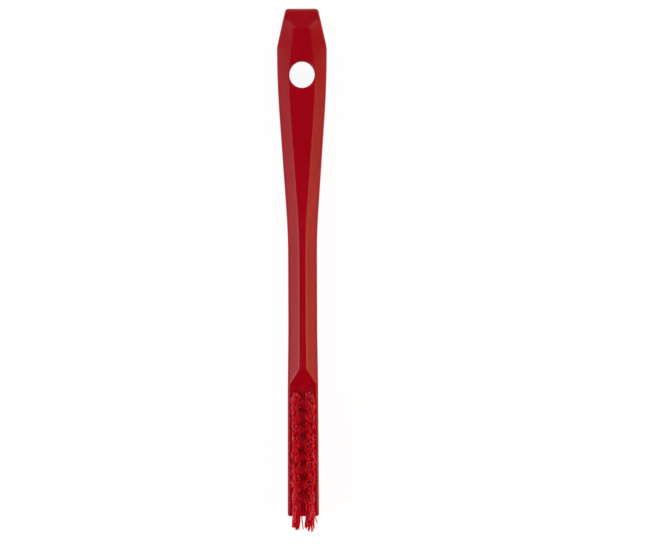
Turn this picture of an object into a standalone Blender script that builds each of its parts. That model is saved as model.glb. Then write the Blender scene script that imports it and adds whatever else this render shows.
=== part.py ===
"""A slim detailing brush: a one-piece handle and head with two columns of tufts.

The brush lies on its back with its bristles up. Its length runs along Y, from the toe
of the head at -Y to the hanging hole at +Y, and X runs across it. All sizes are metres.
A place along the brush is its distance from the end with the hanging hole.
"""
import random
from math import cos, pi, radians, sin, sqrt

import bmesh
import bpy
from mathutils import Matrix, Vector

# Widths of the moulding, and its walls outside the tuft holes
END_WIDTH = 0.0126
GRIP_WIDTH = 0.01925
NECK_WIDTH = 0.0110
SHOULDER_WALL = 0.00152
TOE_WALL = 0.00167

# Lengths along the moulding, from the hole end to the toe
END_TAPER_LENGTH = 0.0152
GRIP_LENGTH = 0.0138
TAPER_LENGTH = 0.0591
NECK_LENGTH = 0.0380
FLARE_LENGTH = 0.0150
RAMP_LENGTH = 0.0068
HEEL_MARGIN = 0.0042
TOE_MARGIN = 0.0047

# Heights of the moulding, from the flat back up
GRIP_THICKNESS = 0.0105
HOLE_FLOOR = 0.0044
RAMP_DROP = 0.0024

# Bevels across the hole end, on the front and on the back
TIP_BEVEL_LENGTH = 0.0079
TIP_BEVEL_DROP = 0.0058
TIP_FLAT_WIDTH = 0.0063
BACK_BEVEL_LENGTH = 0.0050
BACK_BEVEL_RISE = 0.0017

# Long facets beside the flat front and the flat back
FACET_WIDTH = 0.0044
FACET_DROP = 0.0026
BACK_FACET_WIDTH = 0.0034
BACK_FACET_RISE = 0.0020

# Roundings: the reach along each side of an edge, or along the brush at a change of line
RIDGE_ROUND = 0.0005
SIDE_ROUND = 0.0008
END_ROUND = 0.0010
SMALLEST_CHAMFER = 0.0005
CORNER_BLEND = 0.0007
GRIP_BLEND = 0.0125
NECK_BLEND = 0.0090
FLARE_BLEND = 0.0030

# Hanging hole
HANG_AT = 0.0257
HANG_WIDTH = 0.0101
HANG_LENGTH = 0.0106
HANG_ROUND = 0.0008

# Tufts, their drilled holes and their anchors
ROWS = 9
ROW_WEB = 0.00176
COLUMN_WEB = 0.00156
HOLE_DIAMETER = 0.0035
HOLE_DEPTH = 0.0056
BRISTLE_LENGTH = 0.0150
TOE_OVERHANG = 0.0061
TOE_LEAN = radians(22)
KNOT_SINK = 0.0005
STRAND_INSET = 0.00008
STRAND_BEND_AT = 0.55
TIP_GAP = 0.0006
TIP_SCATTER = 0.0001
LENGTH_SCATTER = 0.0003
ANCHOR_HEIGHT = 0.0015
ANCHOR_THICKNESS = 0.0003
FOLD_DEPTH = 0.0008

# Fit and fineness
CLEARANCE = 0.0003
CUT_OVERRUN = 0.0020
ARC_STEPS = 2
ARC_SHARE = 0.45
BLEND_STEPS = 4
HOLE_SIDES = 16
KNOT_SIDES = 6
HANG_STEPS = 32
STATION_GAP = 0.0002

# The field of tufts, and the head that holds it
ROW_PITCH = HOLE_DIAMETER + ROW_WEB
COLUMN_SPACING = HOLE_DIAMETER + COLUMN_WEB
SHOULDER_WIDTH = COLUMN_SPACING + HOLE_DIAMETER + 2 * SHOULDER_WALL
TOE_WIDTH = COLUMN_SPACING + HOLE_DIAMETER + 2 * TOE_WALL
HEAD_THICKNESS = HOLE_FLOOR + HOLE_DEPTH
NECK_THICKNESS = HEAD_THICKNESS + RAMP_DROP

# A tuft in its own frame: its knot, its anchor, and how far its strands spread and bend
KNOT_RADIUS = HOLE_DIAMETER / 2 - CLEARANCE
KNOT_BOTTOM = CLEARANCE - HOLE_DEPTH
KNOT_TOP = -KNOT_SINK
ANCHOR_MIDDLE = KNOT_BOTTOM + FOLD_DEPTH + CLEARANCE + ANCHOR_HEIGHT / 2
ANCHOR_LENGTH = HOLE_DIAMETER - 2 * CLEARANCE
TIP_REACH = (min(ROW_PITCH, COLUMN_SPACING) - TIP_GAP) / 2 - TIP_SCATTER
TOE_REACH = TOE_OVERHANG + TOE_MARGIN - BRISTLE_LENGTH * sin(TOE_LEAN)
TOE_SWEEP = TOE_REACH / cos(TOE_LEAN) - TIP_REACH

# Places along the moulding
GRIP_START = END_TAPER_LENGTH
TAPER_START = GRIP_START + GRIP_LENGTH
TAPER_END = TAPER_START + TAPER_LENGTH
NECK_END = TAPER_END + NECK_LENGTH
RAMP_START = NECK_END + FLARE_LENGTH
RAMP_END = RAMP_START + RAMP_LENGTH
FIRST_ROW = RAMP_END + HEEL_MARGIN
LAST_ROW = FIRST_ROW + (ROWS - 1) * ROW_PITCH
BODY_LENGTH = LAST_ROW + TOE_MARGIN

# Each line is a run of straight stretches: place, height or half-width, rounding there
PLAN_LINE = (
    (0.0, END_WIDTH / 2, 0.0),
    (GRIP_START, GRIP_WIDTH / 2, CORNER_BLEND),
    (TAPER_START, GRIP_WIDTH / 2, GRIP_BLEND),
    (TAPER_END, NECK_WIDTH / 2, NECK_BLEND),
    (NECK_END, NECK_WIDTH / 2, FLARE_BLEND),
    (RAMP_END, SHOULDER_WIDTH / 2, FLARE_BLEND),
    (BODY_LENGTH, TOE_WIDTH / 2, 0.0),
)
RIDGE_LINE = (
    (0.0, GRIP_THICKNESS, 0.0),
    (TAPER_START, GRIP_THICKNESS, GRIP_BLEND),
    (TAPER_END, NECK_THICKNESS, NECK_BLEND),
    (BODY_LENGTH, NECK_THICKNESS, 0.0),
)
FRONT_LINE = (
    (0.0, GRIP_THICKNESS - TIP_BEVEL_DROP, 0.0),
    (TIP_BEVEL_LENGTH, GRIP_THICKNESS, CORNER_BLEND),
    (TAPER_START, GRIP_THICKNESS, GRIP_BLEND),
    (TAPER_END, NECK_THICKNESS, NECK_BLEND),
    (RAMP_START, NECK_THICKNESS, CORNER_BLEND),
    (RAMP_END, HEAD_THICKNESS, CORNER_BLEND),
    (BODY_LENGTH, HEAD_THICKNESS, 0.0),
)
BACK_LINE = (
    (0.0, BACK_BEVEL_RISE, 0.0),
    (BACK_BEVEL_LENGTH, 0.0, CORNER_BLEND),
    (BODY_LENGTH, 0.0, 0.0),
)


def fitted_blend(line, index):
    """The rounding at a point of a line, cut back where two would share one stretch."""
    place, _, blend = line[index]
    for other_place, _, other_blend in (line[index - 1], line[index + 1]):
        run = abs(other_place - place)
        blend = min(blend, run * blend / max(run, blend + other_blend))
    return blend


def line_height(line, place):
    """The height of a line at a place, with a parabola at each inner point."""
    for index in range(1, len(line) - 1):
        corner, height, _ = line[index]
        blend = fitted_blend(line, index)
        before = (height - line[index - 1][1]) / (corner - line[index - 1][0])
        after = (line[index + 1][1] - height) / (line[index + 1][0] - corner)
        if place <= corner - blend:
            return height + before * (place - corner)
        if place < corner + blend:
            rise = (after - before) * (place - corner + blend) ** 2 / (4 * blend)
            return height + before * (place - corner) + rise
    return height + after * (place - corner)


def end_inset(place):
    """How far the section is drawn in at a place by the rounding of the two ends."""
    from_end = min(place, BODY_LENGTH - place)
    short = max(0.0, END_ROUND - from_end)
    return END_ROUND - sqrt(END_ROUND ** 2 - short ** 2)


def front_flat(place, half):
    """Half the width of the flat front, before a bevel or the ramp widens it."""
    widest = GRIP_WIDTH / 2 - FACET_WIDTH
    spread = (widest - TIP_FLAT_WIDTH / 2) / (TAPER_START - TIP_BEVEL_LENGTH)
    towards_tip = widest - (TAPER_START - place) * spread
    return min(towards_tip, half - FACET_WIDTH)


def section_corners(place):
    """The right-hand corners of the section from front to back: (x, z) and rounding."""
    half = line_height(PLAN_LINE, place)
    ridge = line_height(RIDGE_LINE, place)
    front = line_height(FRONT_LINE, place)
    back = line_height(BACK_LINE, place)
    flat = front_flat(place, half)
    flat += (ridge - front) * (half - flat) / FACET_DROP
    inset = end_inset(place)
    half -= inset
    front -= inset
    back += inset
    flat = min(flat, half - SMALLEST_CHAMFER)
    front_side = min(ridge - FACET_DROP, front - SMALLEST_CHAMFER)
    back_side = min(back + BACK_FACET_RISE, front_side - SMALLEST_CHAMFER)
    return (
        (Vector((flat, front)), RIDGE_ROUND),
        (Vector((half, front_side)), SIDE_ROUND),
        (Vector((half, back_side)), SIDE_ROUND),
        (Vector((half - BACK_FACET_WIDTH, back)), RIDGE_ROUND),
    )


def rounded(corners):
    """A closed outline through the corners, each turned into a short arc."""
    outline = []
    for index, (corner, reach) in enumerate(corners):
        before = corners[index - 1][0] - corner
        after = corners[(index + 1) % len(corners)][0] - corner
        reach = min(reach, before.length * ARC_SHARE, after.length * ARC_SHARE)
        start = corner + before.normalized() * reach
        end = corner + after.normalized() * reach
        for step in range(ARC_STEPS + 1):
            t = step / ARC_STEPS
            point = start * (1 - t) ** 2 + corner * 2 * t * (1 - t) + end * t ** 2
            outline.append(point)
    return outline


def section(place):
    """The whole outline of the moulding's section at a place."""
    right = section_corners(place)
    left = [(Vector((-point.x, point.y)), reach) for point, reach in reversed(right)]
    return rounded([*right, *left])


def stations():
    """The places where the moulding needs a section."""
    places = {0.0, BODY_LENGTH}
    for step in range(1, BLEND_STEPS + 1):
        from_end = END_ROUND * (1 - cos(pi / 2 * step / BLEND_STEPS))
        places.update((from_end, BODY_LENGTH - from_end))
    for line in (PLAN_LINE, FRONT_LINE, BACK_LINE):
        for index in range(1, len(line) - 1):
            blend = fitted_blend(line, index)
            for step in range(BLEND_STEPS + 1):
                places.add(line[index][0] + blend * (2 * step / BLEND_STEPS - 1))
    kept = []
    for place in sorted(places):
        near_end = min(place, BODY_LENGTH - place) <= END_ROUND
        if not kept or near_end or place - kept[-1] > STATION_GAP:
            kept.append(place)
    return kept


def moulding_mesh():
    """The handle and head, skinned over their sections."""
    bm = bmesh.new()
    rings = []
    for place in stations():
        rings.append([bm.verts.new((p.x, -place, p.y)) for p in section(place)])
    for ring, following in zip(rings, rings[1:]):
        for index in range(len(ring)):
            last = index - 1
            bm.faces.new((ring[last], ring[index], following[index], following[last]))
    bm.faces.new(rings[0])
    bm.faces.new(rings[-1])
    bmesh.ops.recalc_face_normals(bm, faces=bm.faces)
    return finished(bm, "brush_body")


def finished(bm, name, sharp_angle=radians(20)):
    """Turn a bmesh into a mesh, smooth except across its sharp edges."""
    mesh = bpy.data.meshes.new(name)
    bm.to_mesh(mesh)
    bm.free()
    mesh.shade_smooth()
    mesh.set_sharp_from_angle(angle=sharp_angle)
    return mesh


def tuft_sites():
    """Each tuft's name ending and its frame: root on the head's face, +Z up the tuft."""
    for side, sign in (("left", -1), ("right", 1)):
        for row in range(ROWS):
            place = FIRST_ROW + row * ROW_PITCH
            root = Matrix.Translation((sign * COLUMN_SPACING / 2, -place, HEAD_THICKNESS))
            lean = TOE_LEAN * toe_share(row)
            yield f"{side}_{row + 1}", row, root @ Matrix.Rotation(lean, 4, "X")


def toe_share(row):
    """How much of the toe row's lean a row has: half as much with each row."""
    return 0.5 ** (ROWS - 1 - row)


def tuft_holes_mesh():
    """One cylinder for each drilled tuft hole."""
    bm = bmesh.new()
    for _, _, frame in tuft_sites():
        middle = Matrix.Translation((0, 0, (CUT_OVERRUN - HOLE_DEPTH) / 2))
        bmesh.ops.create_cone(
            bm,
            cap_ends=True,
            segments=HOLE_SIDES,
            radius1=HOLE_DIAMETER / 2,
            radius2=HOLE_DIAMETER / 2,
            depth=HOLE_DEPTH + CUT_OVERRUN,
            matrix=frame @ middle,
        )
    return finished(bm, "tuft_holes")


def hang_profile():
    """The outer side of the hanging hole's cutter, from top to bottom."""
    inner = HANG_WIDTH / 2
    outer = inner + HANG_ROUND
    points = [(0.0, GRIP_THICKNESS + CUT_OVERRUN), (outer, GRIP_THICKNESS + CUT_OVERRUN)]
    arc = []
    for step in range(BLEND_STEPS + 1):
        turn = pi / 2 * step / BLEND_STEPS
        arc.append((outer - HANG_ROUND * sin(turn), HANG_ROUND * (1 - cos(turn))))
    points += [(x, GRIP_THICKNESS - depth) for x, depth in arc]
    points += [(x, depth) for x, depth in reversed(arc)]
    points += [(outer, -CUT_OVERRUN), (0.0, -CUT_OVERRUN)]
    return points


def hang_hole_mesh():
    """The profile of the hanging hole's cutter, as one open wire."""
    bm = bmesh.new()
    wire = [bm.verts.new((x, 0.0, z)) for x, z in hang_profile()]
    for upper, lower in zip(wire, wire[1:]):
        bm.edges.new((upper, lower))
    return finished(bm, "hang_hole")


def knot_top_triangles(bm):
    """Divide the knot's top into 24 triangles and return them."""
    top = max(bm.faces, key=lambda face: face.calc_center_median().z)
    spokes = bmesh.ops.poke(bm, faces=[top])["faces"]
    edges = list({edge for face in spokes for edge in face.edges})
    bmesh.ops.subdivide_edges(bm, edges=edges, cuts=1, use_grid_fill=True)
    return [face for face in bm.faces if face.normal.z > 0.5 and len(face.verts) == 3]


def grow_strand(bm, face, sweep, chance):
    """Draw one triangle out into a three-sided strand that bends outward and forward."""
    root = face.calc_center_median()
    splay = TIP_REACH / KNOT_RADIUS - 1
    length = BRISTLE_LENGTH + KNOT_SINK + chance.uniform(-1, 1) * LENGTH_SCATTER
    turn = chance.uniform(0, 2 * pi)
    scatter = Vector((cos(turn), sin(turn), 0)) * TIP_SCATTER * chance.random()
    aside = Vector((root.x * splay, root.y * splay - sweep, 0)) + scatter
    reached = Vector((0, 0, 0))
    for share in (STRAND_BEND_AT, 1.0):
        target = Vector((0, 0, length * share)) + aside * share ** 2
        face = bmesh.ops.extrude_discrete_faces(bm, faces=[face])["faces"][0]
        bmesh.ops.translate(bm, verts=face.verts, vec=target - reached)
        reached = target


def tuft_mesh(name, row, seed):
    """A knot for the drilled hole, with its strands grown from its top."""
    chance = random.Random(seed)
    bm = bmesh.new()
    bmesh.ops.create_cone(
        bm,
        cap_ends=True,
        segments=KNOT_SIDES,
        radius1=KNOT_RADIUS,
        radius2=KNOT_RADIUS,
        depth=KNOT_TOP - KNOT_BOTTOM,
        matrix=Matrix.Translation((0, 0, (KNOT_TOP + KNOT_BOTTOM) / 2)),
    )
    bm.normal_update()
    roots = knot_top_triangles(bm)
    bmesh.ops.inset_individual(bm, faces=roots, thickness=STRAND_INSET)
    for face in roots:
        grow_strand(bm, face, TOE_SWEEP * toe_share(row), chance)
    return finished(bm, name)


def anchor_box(name, *size):
    """A box of a given size about the middle of an anchor."""
    bm = bmesh.new()
    middle = Matrix.Translation((0, 0, ANCHOR_MIDDLE))
    bmesh.ops.create_cube(bm, size=1, matrix=middle @ Matrix.Diagonal((*size, 1)))
    return finished(bm, name)


def anchor_mesh(name):
    """A steel plate that lies across the hole in the fold of the tuft."""
    return anchor_box(name, ANCHOR_LENGTH, ANCHOR_THICKNESS, ANCHOR_HEIGHT)


def fold_mesh(name):
    """The window through a knot that holds its anchor."""
    width = ANCHOR_THICKNESS + 2 * CLEARANCE
    height = ANCHOR_HEIGHT + 2 * CLEARANCE
    return anchor_box(name, HOLE_DIAMETER, width, height)


def linear(level):
    """A display level of 0 to 255 as the linear value that a shader takes."""
    share = level / 255
    return share / 12.92 if share <= 0.04045 else ((share + 0.055) / 1.055) ** 2.4


def material(name, colour, roughness, metallic):
    """A Principled material."""
    made = bpy.data.materials.new(name)
    made.use_nodes = True
    shader = made.node_tree.nodes["Principled BSDF"]
    red, green, blue = colour
    shader.inputs["Base Color"].default_value = (linear(red), linear(green), linear(blue), 1)
    shader.inputs["Roughness"].default_value = roughness
    shader.inputs["Metallic"].default_value = metallic
    return made


def clear_scene():
    """Remove whatever objects the file opens with."""
    for item in list(bpy.data.objects):
        bpy.data.objects.remove(item, do_unlink=True)


def new_collection(name):
    made = bpy.data.collections.new(name)
    bpy.context.scene.collection.children.link(made)
    return made


def place_object(mesh, frame, parent, collection, finish=None):
    """Put a mesh in the scene as an object of the same name, set out from the hole end."""
    made = bpy.data.objects.new(mesh.name, mesh)
    made.parent = parent
    made.matrix_local = frame
    if finish:
        made.data.materials.append(finish)
    collection.objects.link(made)
    return made


def as_cutter(made):
    """Keep a cutter out of sight."""
    made.hide_render = True
    made.display_type = "WIRE"
    return made


def cut(target, cutter):
    """Take a cutter's shape out of a piece."""
    boolean = target.modifiers.new(cutter.name, "BOOLEAN")
    boolean.operation = "DIFFERENCE"
    boolean.solver = "EXACT"
    boolean.object = cutter


def hang_hole_cutter(parent, collection):
    """The turned cutter of the hanging hole, a little longer than it is wide."""
    at_hole = Matrix.Translation((0, -HANG_AT, 0))
    longer = Matrix.Diagonal((1, HANG_LENGTH / HANG_WIDTH, 1, 1))
    made = as_cutter(place_object(hang_hole_mesh(), at_hole @ longer, parent, collection))
    turned = made.modifiers.new("turned", "SCREW")
    turned.steps = HANG_STEPS
    turned.render_steps = HANG_STEPS
    turned.use_merge_vertices = True
    turned.merge_threshold = 0.00001
    return made


def build_brush():
    """Make the moulding, the tufts and the anchors."""
    clear_scene()
    pieces = new_collection("detailing_brush")
    cutters = new_collection("cutters")
    hole_end = bpy.data.objects.new("hole_end", None)
    hole_end.location = (0, (BODY_LENGTH + TOE_OVERHANG) / 2, 0)
    pieces.objects.link(hole_end)

    red_plastic = material("red_polypropylene", (155, 8, 24), 0.32, 0.0)
    red_filament = material("red_polyester_filament", (190, 22, 30), 0.45, 0.0)
    steel = material("stainless_steel", (190, 190, 188), 0.3, 1.0)

    here = Matrix.Identity(4)
    body = place_object(moulding_mesh(), here, hole_end, pieces, red_plastic)
    cut(body, hang_hole_cutter(hole_end, cutters))
    holes = place_object(tuft_holes_mesh(), here, hole_end, cutters)
    cut(body, as_cutter(holes))

    for seed, (ending, row, frame) in enumerate(tuft_sites()):
        mesh = tuft_mesh(f"tuft_{ending}", row, seed)
        tuft = place_object(mesh, frame, hole_end, pieces, red_filament)
        fold = place_object(fold_mesh(f"fold_{ending}"), frame, hole_end, cutters)
        cut(tuft, as_cutter(fold))
        place_object(anchor_mesh(f"anchor_{ending}"), frame, hole_end, pieces, steel)


build_brush()
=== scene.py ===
"""Looks of the slim detailing brush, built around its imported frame.

The brush lies on its back with its bristles up. Its length runs along Y, from the toe
of the head at -Y to the hanging hole at +Y, and X runs across it. Sizes are metres.
A place along the brush is its distance from the end with the hanging hole.
"""
from math import cos, pi, radians, sin, sqrt

import bmesh
import bpy
import numpy as np
from mathutils import Matrix, Vector


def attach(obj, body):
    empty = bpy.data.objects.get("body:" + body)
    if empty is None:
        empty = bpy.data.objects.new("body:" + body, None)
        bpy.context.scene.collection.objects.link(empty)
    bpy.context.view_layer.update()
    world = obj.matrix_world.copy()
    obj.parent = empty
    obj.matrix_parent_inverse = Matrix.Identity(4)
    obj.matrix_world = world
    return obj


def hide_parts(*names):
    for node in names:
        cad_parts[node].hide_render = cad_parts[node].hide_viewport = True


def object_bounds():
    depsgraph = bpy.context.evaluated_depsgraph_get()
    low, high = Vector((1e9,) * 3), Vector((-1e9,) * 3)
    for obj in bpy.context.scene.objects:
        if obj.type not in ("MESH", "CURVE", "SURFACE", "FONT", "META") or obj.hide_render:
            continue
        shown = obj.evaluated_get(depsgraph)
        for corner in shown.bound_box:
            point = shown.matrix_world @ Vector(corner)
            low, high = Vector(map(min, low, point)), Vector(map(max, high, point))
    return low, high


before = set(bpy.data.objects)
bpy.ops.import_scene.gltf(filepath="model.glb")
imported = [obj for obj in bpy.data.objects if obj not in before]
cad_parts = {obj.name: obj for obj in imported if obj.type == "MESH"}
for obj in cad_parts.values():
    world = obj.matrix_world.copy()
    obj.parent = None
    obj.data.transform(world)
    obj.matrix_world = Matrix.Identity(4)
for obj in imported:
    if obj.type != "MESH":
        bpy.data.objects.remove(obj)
cad_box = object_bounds()

# Widths of the moulding
END_WIDTH = 0.0127
GRIP_WIDTH = 0.0195
NECK_WIDTH = 0.01135
SHOULDER_WIDTH = 0.0119
TOE_WIDTH = 0.01225

# Places along the moulding
GRIP_START = 0.0152
TAPER_START = 0.0290
TAPER_END = 0.0881
NECK_END = 0.1261
RAMP_START = 0.1411
RAMP_END = 0.1479
FIRST_ROW = 0.1521
LAST_ROW = 0.19418
BODY_LENGTH = 0.19888

# Heights above the flat back
GRIP_THICKNESS = 0.0105
NECK_THICKNESS = 0.0124
HEAD_THICKNESS = 0.0100

# Bevels across the hole end, on the front and on the back
TIP_BEVEL_LENGTH = 0.0079
TIP_BEVEL_DROP = 0.0058
TIP_FLAT_WIDTH = 0.0063
TIP_CROWN = 0.0006
BACK_BEVEL_LENGTH = 0.0050
BACK_BEVEL_RISE = 0.0017

# Long facets beside the flat front and the flat back
FACET_WIDTH = 0.0044
FACET_DROP = 0.0026
BACK_FACET_WIDTH = 0.0034
BACK_FACET_RISE = 0.0020

# Roundings: the reach along each side of an edge, or along the brush at a change of line
RIDGE_ROUND = 0.0005
SIDE_ROUND = 0.0008
END_ROUND = 0.0010
SMALLEST_CHAMFER = 0.0005
CORNER_BLEND = 0.0007
GRIP_BLEND = 0.0125
NECK_BLEND = 0.0090
FLARE_BLEND = 0.0030

# Hanging hole
HANG_AT = 0.0260
HANG_WIDTH = 0.0099
HANG_LENGTH = 0.0105
HANG_ROUND = 0.0008

# Drilled holes, and the anchors in them
ROWS = 9
COLUMN_SPACING = 0.00506
HOLE_DIAMETER = 0.0035
HOLE_DEPTH = 0.0056
HOLE_LIP = 0.00015
LIP_FULLNESS = 0.3
ANCHOR_BOTTOM = -0.0042
ABOVE_ANCHOR = -0.0024
TOE_LEAN = radians(22)

# Filaments: each is folded round its anchor and stands up twice
FILAMENT_DIAMETER = 0.00042
FREE_LENGTH = 0.0150
TRIM_SCATTER = 0.0004
LAYERS = 4
LAYER_FIRST = 0.00039
LAYER_STEP = 0.00037
SIDE_STEP = 0.00042
FOLD_FIRST = 0.000072
FOLD_STEP = 0.00036
FOLD_SCATTER = 0.000021
MOUTH_CLOSING = 0.00018
CUT_ROUND = 0.25
CUT_INSET = 0.22

# Lean of the tips across the brush: the splays are shares of a leg's own x in its tuft
SPLAY_FILL = 1.3
SPLAY_OUTWARD = {"left": 0.0, "right": 0.24}
SPLAY_INWARD = 0.10
TOE_SPLAY_INWARD = {"left": -0.35, "right": 0.2}
ACROSS_SCATTER = 0.00014
INWARD_REACH = 0.00195

# Lean of the tips along the brush, where legs at the sides of a hole scatter more
SPLAY_ALONG = 0.72
ALONG_SCATTER = 0.0009
EDGE_SCATTER = 1.5
TOE_SWEEP = 0.0022
FIRST_REACH = 0.0027
FIRST_SCATTER = 0.0005

# The leg of each toe tuft that stands apart: its lean outward and along, and from which x
STRAY_LEANS = {"left": (-0.0010, -0.0034), "right": (0.0013, -0.0008)}
STRAY_FROM = 0.00126

# Bends of a leg: its lean grows by a power, it sways, and its tip hooks over
LEAN_POWER = 1.5
CURL = 0.00020
CURL_WAVES = (0.6, 1.3)
TIP_HOOK = 0.0018
SHORTEST_HOOK = 0.3
OUTER_HOOK = 0.8
HOOK_START = 0.62
HOOK_SPREAD = radians(22)
OUTER_ALIGNED = 0.7

# Fineness, and the angles from which an edge is sharp
ARC_STEPS = 8
ARC_SHARE = 0.45
EDGE_STEPS = 6
BLEND_STEPS = 10
END_STEPS = 8
STATION_STEP = 0.0012
STATION_GAP = 0.00006
HANG_SIDES = 96
HOLE_SIDES = 40
FILAMENT_SIDES = 7
FREE_STEPS = 12
FOLD_STEPS = 8
CUT_OVERRUN = 0.0020
SAME_HEIGHT = 0.000001
MOULDED_EDGE = radians(30)
CUT_EDGE = radians(50)

# The photograph: its size, where the brush lies in it, the height of its scale, its lens
PHOTO_WIDTH = 659
PHOTO_HEIGHT = 544
METRES_PER_PIXEL = 0.0003923
HOLE_END_PIXEL_Y = 8.65
AXIS_PIXEL_X = 302.65
ROLL = radians(0.19)
SCALE_HEIGHT = 0.003
LENS = 300.0
SENSOR = 36.0
CLIP_START = 0.05
CLIP_END = 20.0

# Light: the lamps' distance, the world's dim light, and where its mirrored white fades
LAMP_DISTANCE = 1.3
AMBIENT = 0.06
HORIZON_WHITE = 0.02
HORIZON_DARK = 0.10

# Floor: its reach each way, its paint for light and for the camera, its glow, its fading
FLOOR_REACH = 6
FLOOR_PAINT = 0.82
FLOOR_SHADE = 0.08
FLOOR_GLOW = 0.93
MIRRORED_GLOW = 0.05
FADE_START = 0.25
FADE_END = 1.2

# The hole end of the brush in the row frame
HOLE_END_Y = cad_box[1].y

ROW_PITCH = (LAST_ROW - FIRST_ROW) / (ROWS - 1)

# The two columns of tufts, and which way is outward in each
OUTWARD = {"left": -1, "right": 1}

# Lines along the brush: (place, half width or height, blend) at each change of line
PLAN_LINE = (
    (0.0, END_WIDTH / 2, 0.0),
    (GRIP_START, GRIP_WIDTH / 2, CORNER_BLEND),
    (TAPER_START, GRIP_WIDTH / 2, GRIP_BLEND),
    (TAPER_END, NECK_WIDTH / 2, NECK_BLEND),
    (NECK_END, NECK_WIDTH / 2, FLARE_BLEND),
    (RAMP_END, SHOULDER_WIDTH / 2, FLARE_BLEND),
    (BODY_LENGTH, TOE_WIDTH / 2, 0.0),
)
RIDGE_LINE = (
    (0.0, GRIP_THICKNESS, 0.0),
    (TAPER_START, GRIP_THICKNESS, GRIP_BLEND),
    (TAPER_END, NECK_THICKNESS, NECK_BLEND),
    (BODY_LENGTH, NECK_THICKNESS, 0.0),
)
# The bevel's line starts before the end, where the crown of the bevel looks it up
FRONT_LINE = (
    (-TIP_CROWN, GRIP_THICKNESS - TIP_BEVEL_DROP * (1 + TIP_CROWN / TIP_BEVEL_LENGTH), 0.0),
    (TIP_BEVEL_LENGTH, GRIP_THICKNESS, CORNER_BLEND),
    (TAPER_START, GRIP_THICKNESS, GRIP_BLEND),
    (TAPER_END, NECK_THICKNESS, NECK_BLEND),
    (RAMP_START, NECK_THICKNESS, CORNER_BLEND),
    (RAMP_END, HEAD_THICKNESS, CORNER_BLEND),
    (BODY_LENGTH, HEAD_THICKNESS, 0.0),
)
BACK_LINE = (
    (0.0, BACK_BEVEL_RISE, 0.0),
    (BACK_BEVEL_LENGTH, 0.0, CORNER_BLEND),
    (BODY_LENGTH, 0.0, 0.0),
)


def fitted_blend(line, index):
    """The rounding at a point of a line, cut back where two would share one stretch."""
    place, _, blend = line[index]
    for other_place, _, other_blend in (line[index - 1], line[index + 1]):
        run = abs(other_place - place)
        blend = min(blend, run * blend / max(run, blend + other_blend))
    return blend


def line_height(line, place):
    """The height of a line at a place, with a parabola at each inner point."""
    for index in range(1, len(line) - 1):
        corner, height, _ = line[index]
        blend = fitted_blend(line, index)
        before = (height - line[index - 1][1]) / (corner - line[index - 1][0])
        after = (line[index + 1][1] - height) / (line[index + 1][0] - corner)
        if place <= corner - blend:
            return height + before * (place - corner)
        if place < corner + blend:
            rise = (after - before) * (place - corner + blend) ** 2 / (4 * blend)
            return height + before * (place - corner) + rise
    return height + after * (place - corner)


def end_inset(place):
    """How far the section is drawn in at a place by the rounding of the two ends."""
    from_end = min(place, BODY_LENGTH - place)
    short = max(0.0, END_ROUND - from_end)
    return END_ROUND - sqrt(END_ROUND ** 2 - short ** 2)


def front_flat(place, half):
    """Half the width of the flat front, before a bevel or the ramp widens it."""
    widest = GRIP_WIDTH / 2 - FACET_WIDTH
    spread = (widest - TIP_FLAT_WIDTH / 2) / (TAPER_START - TIP_BEVEL_LENGTH)
    towards_tip = widest - (TAPER_START - place) * spread
    return min(towards_tip, half - FACET_WIDTH)


def section_corners(place):
    """The right-hand corners of the section from front to back: (x, z) and rounding."""
    half = line_height(PLAN_LINE, place)
    ridge = line_height(RIDGE_LINE, place)
    front = line_height(FRONT_LINE, place)
    back = line_height(BACK_LINE, place)
    flat = front_flat(place, half)
    # Where the front dips below the ridges, it meets the facets further out
    flat += (ridge - front) * (half - flat) / FACET_DROP
    inset = end_inset(place)
    half -= inset
    front -= inset
    back += inset
    flat = min(flat, half - SMALLEST_CHAMFER)
    front_side = min(ridge - FACET_DROP, front - SMALLEST_CHAMFER)
    back_side = min(back + BACK_FACET_RISE, front_side - SMALLEST_CHAMFER)
    return (
        (Vector((flat, front)), RIDGE_ROUND),
        (Vector((half, front_side)), SIDE_ROUND),
        (Vector((half, back_side)), SIDE_ROUND),
        (Vector((half - BACK_FACET_WIDTH, back)), RIDGE_ROUND),
    )


def corner_arc(before, corner, after, reach):
    """A curve that rounds a corner, reaching as far along each side as there is room."""
    to_before = before - corner
    to_after = after - corner
    reach = min(reach, to_before.length * ARC_SHARE, to_after.length * ARC_SHARE)
    start = corner + to_before.normalized() * reach
    end = corner + to_after.normalized() * reach
    steps = [step / ARC_STEPS for step in range(ARC_STEPS + 1)]
    return [start * (1 - t) ** 2 + corner * 2 * t * (1 - t) + end * t ** 2 for t in steps]


def rounded(corners):
    """A closed outline through the corners, with an arc at each and even steps between."""
    points = [point for point, _ in corners]
    arcs = []
    for index, (corner, reach) in enumerate(corners):
        following = points[(index + 1) % len(points)]
        arcs.append(corner_arc(points[index - 1], corner, following, reach))
    outline = []
    for index, arc in enumerate(arcs):
        following = arcs[(index + 1) % len(arcs)][0]
        outline += arc
        outline += [arc[-1].lerp(following, step / EDGE_STEPS) for step in range(1, EDGE_STEPS)]
    return outline


def crown(place, point, corner):
    """Lower a point of the flat front where the tip's bevel is crowned."""
    across = abs(point.x) / corner.x
    past_bevel = place > TIP_BEVEL_LENGTH + 2 * TIP_CROWN
    below_front = point.y < corner.y - SAME_HEIGHT
    if past_bevel or below_front or across >= 1:
        return point
    shift = TIP_CROWN * (1 - across ** 2)
    drop = line_height(FRONT_LINE, place) - line_height(FRONT_LINE, place - shift)
    return Vector((point.x, point.y - drop))


def section(place):
    """The whole outline of the moulding's section at a place."""
    right = section_corners(place)
    left = [(Vector((-point.x, point.y)), reach) for point, reach in reversed(right)]
    front_corner = right[0][0]
    return [crown(place, point, front_corner) for point in rounded([*right, *left])]


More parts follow.
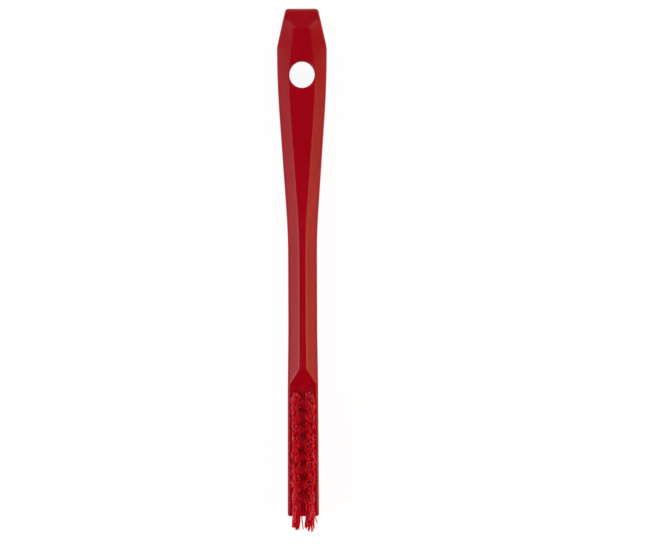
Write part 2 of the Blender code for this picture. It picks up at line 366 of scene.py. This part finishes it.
def stations():
    """The places where the moulding needs a section."""
    places = set(np.arange(0, BODY_LENGTH, STATION_STEP)) | {BODY_LENGTH}
    for step in range(1, END_STEPS + 1):
        from_end = END_ROUND * (1 - cos(pi / 2 * step / END_STEPS))
        places.update((from_end, BODY_LENGTH - from_end))
    for line in (PLAN_LINE, FRONT_LINE, BACK_LINE):
        for index in range(1, len(line) - 1):
            blend = fitted_blend(line, index)
            for step in range(BLEND_STEPS + 1):
                places.add(line[index][0] + blend * (2 * step / BLEND_STEPS - 1))
    kept = []
    for place in sorted(places):
        near_end = min(place, BODY_LENGTH - place) <= END_ROUND
        if not kept or near_end or place - kept[-1] > STATION_GAP:
            kept.append(place)
    return kept


def bridge(bm, ring, following):
    """Quads between two rings of as many points."""
    for index in range(len(ring)):
        last = index - 1
        bm.faces.new((ring[last], ring[index], following[index], following[last]))


def skin(bm, rings):
    """A closed skin over rings of points, with a flat face at both ends."""
    for ring, following in zip(rings, rings[1:]):
        bridge(bm, ring, following)
    bm.faces.new(rings[0])
    bm.faces.new(rings[-1])


def finished(bm, name):
    """Turn a bmesh into a mesh, smooth except across its sharp edges."""
    bmesh.ops.recalc_face_normals(bm, faces=bm.faces)
    mesh = bpy.data.meshes.new(name)
    bm.to_mesh(mesh)
    bm.free()
    mesh.shade_smooth()
    mesh.set_sharp_from_angle(angle=MOULDED_EDGE)
    return mesh


def moulding_mesh():
    """The handle and head, skinned over their sections."""
    bm = bmesh.new()
    rings = []
    for place in stations():
        y = HOLE_END_Y - place
        rings.append([bm.verts.new((point.x, y, point.y)) for point in section(place)])
    skin(bm, rings)
    return finished(bm, "moulding")


def turned(bm, profile, sides, matrix, stretch=1.0):
    """A closed turned shape: rings of a (radius, height) profile about Z, from the top."""
    rings = []
    for radius, height in profile:
        ring = []
        for side in range(sides):
            turn = 2 * pi * side / sides
            point = Vector((radius * cos(turn), radius * stretch * sin(turn), height))
            ring.append(bm.verts.new(matrix @ point))
        rings.append(ring)
    skin(bm, rings)


def hang_hole_mesh():
    """The cutter of the hanging hole, with a rounded rim at both faces."""
    inner = HANG_WIDTH / 2
    outer = inner + HANG_ROUND
    arc = []
    for step in range(END_STEPS + 1):
        turn = pi / 2 * step / END_STEPS
        arc.append((outer - HANG_ROUND * sin(turn), HANG_ROUND * (1 - cos(turn))))
    profile = [(outer, GRIP_THICKNESS + CUT_OVERRUN)]
    profile += [(radius, GRIP_THICKNESS - depth) for radius, depth in arc]
    profile += [(radius, depth) for radius, depth in reversed(arc)]
    profile += [(outer, -CUT_OVERRUN)]
    bm = bmesh.new()
    middle = Matrix.Translation((0, HOLE_END_Y - HANG_AT, 0))
    turned(bm, profile, HANG_SIDES, middle, HANG_LENGTH / HANG_WIDTH)
    return finished(bm, "hang_hole")


def toe_share(row):
    """How much of the toe row's lean a row has: half as much with each row."""
    return 0.5 ** (ROWS - 1 - row)


def tuft_frame(side, row):
    """The frame of a tuft: its root on the head's face, with +Z up the tuft."""
    y = HOLE_END_Y - FIRST_ROW - row * ROW_PITCH
    root = Matrix.Translation((OUTWARD[side] * COLUMN_SPACING / 2, y, HEAD_THICKNESS))
    return root @ Matrix.Rotation(TOE_LEAN * toe_share(row), 4, "X")


def tuft_holes_mesh():
    """The drilled tuft holes, each with a small rounded lip."""
    radius = HOLE_DIAMETER / 2
    wide = radius + HOLE_LIP
    inside = LIP_FULLNESS * HOLE_LIP
    profile = [(wide, CUT_OVERRUN), (wide, 0.0), (radius + inside, -inside)]
    profile += [(radius, -HOLE_LIP), (radius, -HOLE_DEPTH)]
    bm = bmesh.new()
    for side in OUTWARD:
        for row in range(ROWS):
            turned(bm, profile, HOLE_SIDES, tuft_frame(side, row))
    return finished(bm, "tuft_holes")


def new_object(name, data):
    made = bpy.data.objects.new(name, data)
    bpy.context.scene.collection.objects.link(made)
    return made


def cut_away(target, cutters):
    """Take the cutters' shapes out of a piece for good, and remove them."""
    for cutter in cutters:
        boolean = target.modifiers.new(cutter.name, "BOOLEAN")
        boolean.operation = "DIFFERENCE"
        boolean.solver = "EXACT"
        boolean.object = cutter
    depsgraph = bpy.context.evaluated_depsgraph_get()
    mesh = bpy.data.meshes.new_from_object(target.evaluated_get(depsgraph))
    target.modifiers.clear()
    target.data = mesh
    for cutter in cutters:
        bpy.data.objects.remove(cutter)


def make_moulding():
    """The whole moulding, with its hanging hole and its drilled holes."""
    moulding = new_object("moulding", moulding_mesh())
    cutters = [
        new_object("hang_hole", hang_hole_mesh()),
        new_object("tuft_holes", tuft_holes_mesh()),
    ]
    cut_away(moulding, cutters)
    moulding.data.set_sharp_from_angle(angle=MOULDED_EDGE)
    normals = moulding.modifiers.new("normals", "WEIGHTED_NORMAL")
    normals.keep_sharp = True
    return moulding


def standing_places():
    """Where the filaments of a tuft stand in their hole: (x, layer) of one half."""
    room = HOLE_DIAMETER / 2 - FILAMENT_DIAMETER / 2
    for layer in range(LAYERS):
        aside = LAYER_FIRST + layer * LAYER_STEP
        half = sqrt(room ** 2 - aside ** 2)
        count = int(2 * half / SIDE_STEP) + 1
        for index in range(count):
            yield (index - (count - 1) / 2) * SIDE_STEP, layer


class Tuft:
    """The filaments of one tuft, laid in its frame with the tuft's own random numbers.

    Each leg of a filament stands at its own x and y in the mouth of the hole. The outward
    direction is away from the gap between the columns.
    """

    def __init__(self, side, row):
        self.side = side
        self.row = row
        self.toe = toe_share(row)
        self.outward = OUTWARD[side]
        self.chance = np.random.default_rng(list(OUTWARD).index(side) * ROWS + row)

    def splay(self, outward):
        """The share of its place in the hole by which a leg leans across the brush."""
        if outward > 0:
            return SPLAY_OUTWARD[self.side]
        return SPLAY_INWARD * (1 - self.toe) + TOE_SPLAY_INWARD[self.side] * self.toe

    def tip_lean(self, x, y):
        """How far the tip of a leg stands from straight above its place in the hole."""
        outward = self.outward * x
        # Where the round hole narrows, its legs lean out and keep the column's width
        fill = SPLAY_FILL * (1 / sqrt(1 - (2 * y / HOLE_DIAMETER) ** 2) - 1)
        across = (self.splay(outward) + fill) * outward + self.chance.normal(0, ACROSS_SCATTER)
        across = max(across, -INWARD_REACH - outward)
        reach = ALONG_SCATTER * (1 + EDGE_SCATTER * abs(x) / (HOLE_DIAMETER / 2))
        along = SPLAY_ALONG * y + self.chance.uniform(-reach, reach) * (1 - self.toe / 2)
        along -= TOE_SWEEP * self.toe
        if self.row == 0:
            along = min(along, FIRST_REACH - y + self.chance.normal(0, FIRST_SCATTER))
        return Vector((self.outward * across, along))

    def tip_hook(self, x):
        """How far the tip of a leg is bent: mostly along the brush, and not inwards."""
        outward = self.outward * x
        outer = max(0.0, outward) / (HOLE_DIAMETER / 2)
        reach = TIP_HOOK * self.chance.uniform(SHORTEST_HOOK, 1) * (1 + OUTER_HOOK * outer ** 3)
        turn = self.chance.normal(0, HOOK_SPREAD) * (1 - OUTER_ALIGNED * outer)
        across = reach * sin(turn)
        if outward < 0:
            across = abs(across)
        along = reach * cos(turn) * self.chance.choice((-1, 1))
        if self.row == 0:
            along = -abs(along)
        return Vector((self.outward * across, along)) * (1 - self.toe)

    def leg(self, x, y, lean, hook):
        """One leg of a filament, from the mouth of its hole to its bent tip."""
        length = FREE_LENGTH + self.chance.normal(0, TRIM_SCATTER)
        turn = self.chance.uniform(0, 2 * pi)
        waves = self.chance.uniform(*CURL_WAVES)
        phase = self.chance.uniform(0, 2 * pi)
        points = []
        for step in range(FREE_STEPS + 1):
            t = sin(pi / 2 * step / FREE_STEPS)
            leaning = t ** LEAN_POWER
            sway = CURL * t * sin(2 * pi * waves * t + phase)
            bend = max(0.0, (t - HOOK_START) / (1 - HOOK_START)) ** 2
            points.append((
                x + lean.x * leaning + sway * cos(turn) + bend * hook.x,
                y + lean.y * leaning + sway * sin(turn) + bend * hook.y,
                length * t - bend * hook.length / 2,
            ))
        return points

    def free_leg(self, x, y):
        """A leg with the lean and the bent tip that its place in the tuft gives it."""
        lean = self.tip_lean(x, y)
        return self.leg(x, y, lean, self.tip_hook(x))

    def stray_leg(self, x, y):
        """The straight leg of a toe tuft that stands apart from the others."""
        outward, along = STRAY_LEANS[self.side]
        return self.leg(x, y, Vector((self.outward * outward, along)), Vector((0, 0)))

    def filament(self, x, layer):
        """A filament from tip to tip, down through the fold under its anchor and up again."""
        aside = LAYER_FIRST + layer * LAYER_STEP
        other = x + self.chance.uniform(-FOLD_SCATTER, FOLD_SCATTER)
        top = ANCHOR_BOTTOM - FILAMENT_DIAMETER / 2
        depth = FOLD_FIRST + layer * FOLD_STEP
        fold = []
        for step in range(FOLD_STEPS + 1):
            turn = pi * step / FOLD_STEPS
            across = x + (other - x) * (1 - cos(turn)) / 2
            fold.append((across, aside * cos(turn), top - depth * sin(turn)))
        mouth = aside - MOUTH_CLOSING
        down = self.free_leg(x, mouth)[::-1]
        up = self.free_leg(other, -mouth)
        if self.row == ROWS - 1 and layer == 0 and x > STRAY_FROM:
            up = self.stray_leg(other, -mouth)
        down.append((x, aside, ABOVE_ANCHOR))
        up.insert(0, (other, -aside, ABOVE_ANCHOR))
        return np.array([*down, *fold, *up])

    def mesh(self, name):
        """All the filaments, each point with its height and its filament's shade."""
        matrix = np.array(tuft_frame(self.side, self.row))
        points, faces, heights, shades = [], [], [], []
        for x, layer in standing_places():
            rings = tube_rings(self.filament(x, layer))
            faces += tube_faces(len(points), len(rings))
            points.extend(rings.reshape(-1, 3) @ matrix[:3, :3].T + matrix[:3, 3])
            heights.extend(np.clip(rings[:, :, 2] / FREE_LENGTH, 0, 1).ravel())
            shades.extend([self.chance.uniform()] * (len(points) - len(shades)))
        mesh = bpy.data.meshes.new(name)
        mesh.from_pydata([tuple(point) for point in points], [], faces)
        for channel, values in (("height_share", heights), ("shade", shades)):
            attribute = mesh.attributes.new(channel, "FLOAT", "POINT")
            attribute.data.foreach_set("value", np.array(values, np.float32))
        mesh.shade_smooth()
        mesh.set_sharp_from_angle(angle=CUT_EDGE)
        return mesh


def tube_rings(path):
    """The points of a filament round its path, as rings, with its ends slightly rounded."""
    radius = FILAMENT_DIAMETER / 2
    tangents = np.gradient(path, axis=0)
    tangents /= np.linalg.norm(tangents, axis=1, keepdims=True)
    across = np.array((1.0, 0.0, 0.0))
    normals = across - tangents * (tangents @ across)[:, None]
    normals /= np.linalg.norm(normals, axis=1, keepdims=True)
    sideways = np.cross(tangents, normals)
    turns = 2 * pi * np.arange(FILAMENT_SIDES) / FILAMENT_SIDES
    rings = path[:, None] + radius * (
        np.cos(turns)[None, :, None] * normals[:, None]
        + np.sin(turns)[None, :, None] * sideways[:, None]
    )
    ends = rings[[0, -1]] * (1 - CUT_INSET) + path[[0, -1], None] * CUT_INSET
    beyond = tangents[[0, -1], None] * CUT_ROUND * radius
    return np.concatenate([ends[:1] - beyond[:1], rings, ends[1:] + beyond[1:]])


def tube_faces(start, count):
    """The faces over a tube's rings and ends, from the number of its first point."""
    faces = []
    for ring in range(count - 1):
        for index in range(FILAMENT_SIDES):
            a = start + ring * FILAMENT_SIDES + index
            b = start + ring * FILAMENT_SIDES + (index + 1) % FILAMENT_SIDES
            faces.append((a, b, b + FILAMENT_SIDES, a + FILAMENT_SIDES))
    end = start + (count - 1) * FILAMENT_SIDES
    faces.append(tuple(range(start + FILAMENT_SIDES - 1, start - 1, -1)))
    faces.append(tuple(range(end, end + FILAMENT_SIDES)))
    return faces


def linear(level):
    """A display level of 0 to 255 as the linear value that a shader takes."""
    share = level / 255
    return share / 12.92 if share <= 0.04045 else ((share + 0.055) / 1.055) ** 2.4


def colour(red, green, blue):
    return (linear(red), linear(green), linear(blue), 1)


class Nodes:
    """A small helper for building a node tree."""

    def __init__(self, tree):
        self.tree = tree

    def put(self, value, socket):
        """Link a node's output to a socket, or write a plain value on it."""
        if isinstance(value, bpy.types.NodeSocket):
            self.tree.links.new(value, socket)
        else:
            socket.default_value = value

    def fill(self, node, inputs):
        for socket, value in inputs.items():
            self.put(value, node.inputs[socket])

    def add(self, kind, inputs=None, **settings):
        node = self.tree.nodes.new(kind)
        for name, value in settings.items():
            setattr(node, name, value)
        self.fill(node, inputs or {})
        return node

    def noise(self, vector, scale, detail=2.0, roughness=0.5):
        inputs = {"Vector": vector, "Scale": scale, "Detail": detail, "Roughness": roughness}
        return self.add("ShaderNodeTexNoise", inputs).outputs["Fac"]

    def spread(self, value, low, high, to_low=0.0, to_high=1.0):
        """A value from low to high, mapped to another range and held there."""
        inputs = {
            "Value": value,
            "From Min": low,
            "From Max": high,
            "To Min": to_low,
            "To Max": to_high,
        }
        return self.add("ShaderNodeMapRange", inputs).outputs["Result"]

    def maths(self, operation, a, b):
        return self.add("ShaderNodeMath", {0: a, 1: b}, operation=operation).outputs[0]

    def mix(self, share, a, b):
        """One colour turned into another; 6, 7 and 2 are the node's colour sockets."""
        inputs = {"Factor": share, 6: a, 7: b}
        return self.add("ShaderNodeMix", inputs, data_type="RGBA").outputs[2]

    def attribute(self, name):
        return self.add("ShaderNodeAttribute", attribute_name=name).outputs["Fac"]

    def coordinates(self, kind="Object"):
        return self.add("ShaderNodeTexCoord").outputs[kind]

    def place(self, scale=(1, 1, 1)):
        """The object's own coordinates, stretched."""
        inputs = {"Vector": self.coordinates(), "Scale": scale}
        return self.add("ShaderNodeMapping", inputs).outputs["Vector"]

    def bump(self, height, strength, distance):
        inputs = {"Height": height, "Strength": strength, "Distance": distance}
        return self.add("ShaderNodeBump", inputs).outputs["Normal"]

    def rays(self):
        """What kind of ray sees the surface: the camera's, a mirrored one, a diffuse one."""
        path = self.add("ShaderNodeLightPath").outputs
        mirrored = self.maths("MAXIMUM", path["Is Glossy Ray"], path["Is Transmission Ray"])
        return path["Is Camera Ray"], mirrored, path["Is Diffuse Ray"]


def new_material(name):
    """A material, the helper for its nodes, and its shader."""
    material = bpy.data.materials.new(name)
    material.use_nodes = True
    return material, Nodes(material.node_tree), material.node_tree.nodes["Principled BSDF"]


def moulded_plastic():
    """Glossy satin polypropylene, with mould grain, flow marks and light rubbing."""
    material, nodes, shader = new_material("red_polypropylene")
    even = nodes.place()
    flow = nodes.noise(nodes.place((1, 0.12, 1)), 260, 3)
    cloud = nodes.noise(even, 45, 3)
    grain = nodes.noise(even, 5200)
    rub = nodes.spread(nodes.noise(nodes.place((1, 0.06, 1)), 2400, 4, 0.7), 0.62, 0.80)
    pigment = nodes.mix(
        nodes.spread(cloud, 0.35, 0.65), colour(147, 1, 18), colour(152, 1, 20)
    )
    pigment = nodes.mix(nodes.spread(flow, 0.35, 0.7, 0, 0.5), pigment, colour(149, 1, 16))
    satin = nodes.spread(cloud, 0.3, 0.7, 0.20, 0.25)
    dulled = nodes.spread(rub, 0, 1, 0, 0.05)
    raised = nodes.spread(grain, 0, 1, 0, 0.6)
    worn = nodes.spread(rub, 0, 1, 0, -0.5)
    nodes.fill(shader, {
        "Base Color": pigment,
        "Roughness": nodes.maths("ADD", satin, dulled),
        "Specular IOR Level": 0.35,
        "Subsurface Weight": 0.25,
        "Subsurface Radius": (1.0, 0.1, 0.1),
        "Subsurface Scale": 0.0015,
        "Normal": nodes.bump(nodes.maths("ADD", raised, worn), 0.10, 0.00004),
    })
    return material


def filament_plastic():
    """Stiff extruded filament: each its own shade, duller at its cut tip, with painted light
    and shade: lighter low down and darker at the tips, to even out the shade that falls between
    the strands.
    """
    material, nodes, shader = new_material("red_filament")
    height = nodes.attribute("height_share")
    base = nodes.mix(nodes.attribute("shade"), colour(250, 12, 44), colour(255, 18, 54))
    # Painted light and shade: the tips darker and the lower parts lighter, to even out the
    # shade between the strands
    painted_height_shade = nodes.mix(nodes.spread(height, 0.72, 1.0, 0, 0.5), base, colour(204, 18, 38))
    streak = nodes.noise(nodes.place((1, 1, 0.15)), 3000)
    tone = nodes.mix(nodes.spread(streak, 0.3, 0.7, 0, 0.35), painted_height_shade, colour(196, 4, 20))
    nodes.fill(shader, {
        "Base Color": tone,
        "Roughness": nodes.spread(height, 0.85, 1.0, 0.36, 0.5),
        "Specular IOR Level": 0.35,
        "Subsurface Weight": 1.0,
        "Subsurface Radius": (1.0, 0.15, 0.15),
        "Subsurface Scale": 0.0012,
        "Transmission Weight": 0.2,
        "Normal": nodes.bump(streak, 0.25, 0.00003),
    })
    return material


def anchor_steel():
    """Stainless steel strip, rolled along its length."""
    material, nodes, shader = new_material("stainless_steel")
    rolled = nodes.noise(nodes.place((0.08, 1, 1)), 9000, 3)
    nodes.fill(shader, {
        "Base Color": nodes.mix(rolled, colour(176, 176, 174), colour(206, 206, 203)),
        "Roughness": nodes.spread(rolled, 0.3, 0.7, 0.24, 0.38),
        "Metallic": 1.0,
        "Normal": nodes.bump(rolled, 0.2, 0.00002),
    })
    return material


def floor_paint():
    """White floor that keeps the shadow, and fades into the white background."""
    material, nodes, shader = new_material("floor")
    camera, mirrored, _ = nodes.rays()
    own = nodes.coordinates()
    radius = nodes.add("ShaderNodeVectorMath", {0: own}, operation="LENGTH").outputs["Value"]
    far = nodes.spread(radius, FADE_START, FADE_END)
    seen = nodes.maths("MULTIPLY", camera, FLOOR_GLOW)
    seen = nodes.maths("MAXIMUM", seen, nodes.maths("MULTIPLY", mirrored, MIRRORED_GLOW))
    nodes.fill(shader, {
        "Base Color": nodes.spread(camera, 0, 1, FLOOR_PAINT, FLOOR_SHADE),
        "Roughness": 0.9,
        "Specular IOR Level": 0.1,
        "Emission Color": (1, 1, 1, 1),
        "Emission Strength": nodes.maths("MAXIMUM", seen, nodes.maths("MULTIPLY", far, camera)),
    })
    return material


def make_floor():
    """A wide floor under the brush."""
    bm = bmesh.new()
    bmesh.ops.create_grid(bm, x_segments=4, y_segments=4, size=FLOOR_REACH)
    floor = new_object("floor", finished(bm, "floor"))
    floor.data.materials.append(floor_paint())


def make_camera():
    """The photograph's view, straight down on the bristles."""
    data = bpy.data.cameras.new("camera")
    data.lens = LENS
    data.sensor_width = SENSOR
    data.clip_start = CLIP_START
    data.clip_end = CLIP_END
    across = (PHOTO_WIDTH / 2 - AXIS_PIXEL_X) * METRES_PER_PIXEL
    along = HOLE_END_Y - (PHOTO_HEIGHT / 2 - HOLE_END_PIXEL_Y) * METRES_PER_PIXEL
    distance = PHOTO_WIDTH * METRES_PER_PIXEL * LENS / SENSOR
    camera = new_object("camera", data)
    camera.location = (across, along, SCALE_HEIGHT + distance)
    camera.rotation_euler = (0, 0, -ROLL)
    bpy.context.scene.camera = camera


def make_world():
    """A dim studio, white where the camera sees it and mirrored white at the horizon."""
    world = bpy.data.worlds.new("studio")
    world.use_nodes = True
    bpy.context.scene.world = world
    nodes = Nodes(world.node_tree)
    camera, mirrored, diffuse = nodes.rays()
    direction = nodes.add("ShaderNodeSeparateXYZ", {0: nodes.coordinates("Generated")})
    horizon = nodes.spread(direction.outputs["Z"], HORIZON_WHITE, HORIZON_DARK, 1, 0)
    seen = nodes.maths("MAXIMUM", camera, nodes.maths("MULTIPLY", mirrored, horizon))
    ambient = nodes.maths("MULTIPLY", diffuse, AMBIENT)
    nodes.fill(world.node_tree.nodes["Background"], {
        "Color": (1, 1, 1, 1),
        "Strength": nodes.maths("MAXIMUM", seen, ambient),
    })


def add_lamp(name, towards, size, share, tint, mirrored=True):
    """A softbox that faces the brush and lights a level surface by a given share."""
    direction = Vector(towards).normalized()
    data = bpy.data.lights.new(name, "AREA")
    data.shape = "RECTANGLE"
    data.size, data.size_y = size
    data.color = tint
    data.energy = share * pi ** 2 * LAMP_DISTANCE ** 2 / direction.z
    lamp = new_object(name, data)
    lamp.location = direction * LAMP_DISTANCE
    lamp.rotation_euler = direction.to_track_quat("Z", "Y").to_euler()
    lamp.visible_camera = False
    lamp.visible_glossy = mirrored


def make_lights():
    """Softboxes beside the brush and beyond its hole end, and fill that isn't mirrored."""
    pinkish = (1.0, 0.95, 0.96)
    warm = (1.0, 0.68, 0.34)
    white = (1.0, 0.98, 0.98)
    add_lamp("left_box", (-1.0, -0.30, 1.0), (0.68, 0.65), 0.24, pinkish)
    add_lamp("right_box", (1.0, -0.14, 1.0), (0.40, 0.65), 0.185, warm)
    add_lamp("left_low_box", (-0.836, 0.256, 0.485), (0.68, 0.4), 0.015, pinkish)
    add_lamp("right_low_box", (0.836, 0.256, 0.485), (0.68, 0.4), 0.013, warm)
    add_lamp("left_corner_box", (-0.84, 0.96, 1.0), (0.5, 0.5), 0.06, white)
    add_lamp("right_corner_box", (0.84, 0.96, 1.0), (0.5, 0.5), 0.07, white)
    add_lamp("left_fill", (-1.0, 0.0, 0.3), (1.6, 0.4), 0.12, white, mirrored=False)
    add_lamp("right_fill", (1.0, 0.0, 0.3), (1.6, 0.4), 0.17, white, mirrored=False)
    add_lamp("far_fill", (0.0, 1.0, 0.3), (1.0, 0.4), 0.05, white, mirrored=False)
    add_lamp("overhead_fill", (0.0, -0.25, 1.0), (0.2, 0.9), 0.28, white, mirrored=False)


def dress_moulding():
    """Put the detailed moulding in the place of the CAD one."""
    moulding = make_moulding()
    moulding.data.materials.clear()
    moulding.data.materials.append(moulded_plastic())
    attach(moulding, "root")
    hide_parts("brush_body")


def dress_tufts():
    """Give each tuft its filaments, and each anchor, which keeps its CAD mesh, its steel."""
    filament = filament_plastic()
    steel = anchor_steel()
    for side in OUTWARD:
        for row in range(ROWS):
            ending = f"{side}_{row + 1}"
            name = f"bristles_{ending}"
            bristles = new_object(name, Tuft(side, row).mesh(name))
            bristles.data.materials.append(filament)
            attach(bristles, "root")
            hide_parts(f"tuft_{ending}")
            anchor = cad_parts[f"anchor_{ending}"]
            anchor.data.materials.clear()
            anchor.data.materials.append(steel)


dress_moulding()
dress_tufts()
make_floor()
make_camera()
make_world()
make_lights()
bpy.context.scene.view_settings.view_transform = "Standard"
